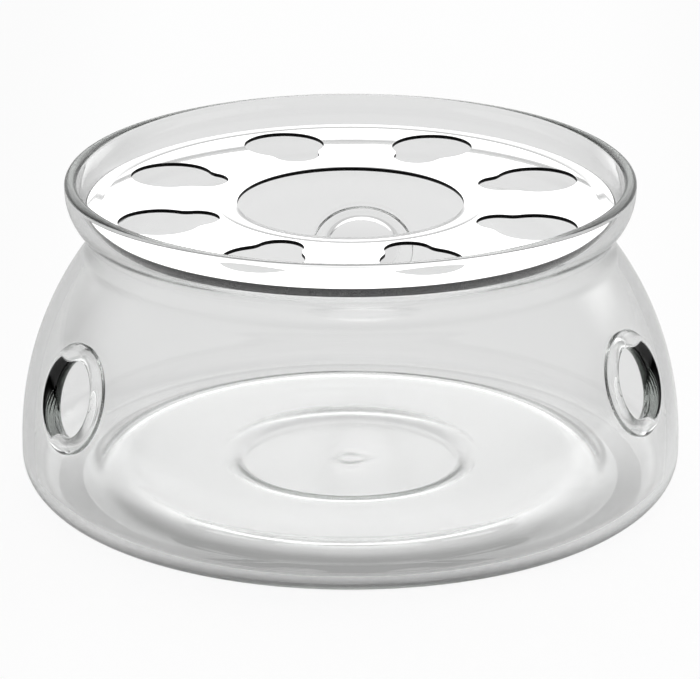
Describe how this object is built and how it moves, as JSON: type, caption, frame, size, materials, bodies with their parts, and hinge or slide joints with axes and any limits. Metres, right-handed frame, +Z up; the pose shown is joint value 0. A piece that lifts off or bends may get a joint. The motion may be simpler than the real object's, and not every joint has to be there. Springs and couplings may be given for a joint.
{
  "type": "teapot warmer",
  "caption": "Clear glass teapot warmer: a squat blown body with a flared collar, air vents and a candle seat, and a pierced steel pot rest that drops into the collar.",
  "frame": {"origin": "on the table, under the middle of the body", "axes": "+Z up along the body's axis, -Y towards the front, +X to the right seen from the front"},
  "size_m": [0.135, 0.135, 0.0651],
  "materials": {
    "clear_glass": "clear, fire-polished",
    "polished_steel": "mirror-polished stainless steel"
  },
  "bodies": {
    "glass": {"glass_body": "clear_glass"},
    "plate": {"steel_plate": "polished_steel"}
  },
  "joints": [
    {"name": "plate_lift", "type": "slide", "parent": "glass", "child": "plate", "axis": [0, 0, 1], "range_m": [0, 0.04]}
  ]
}
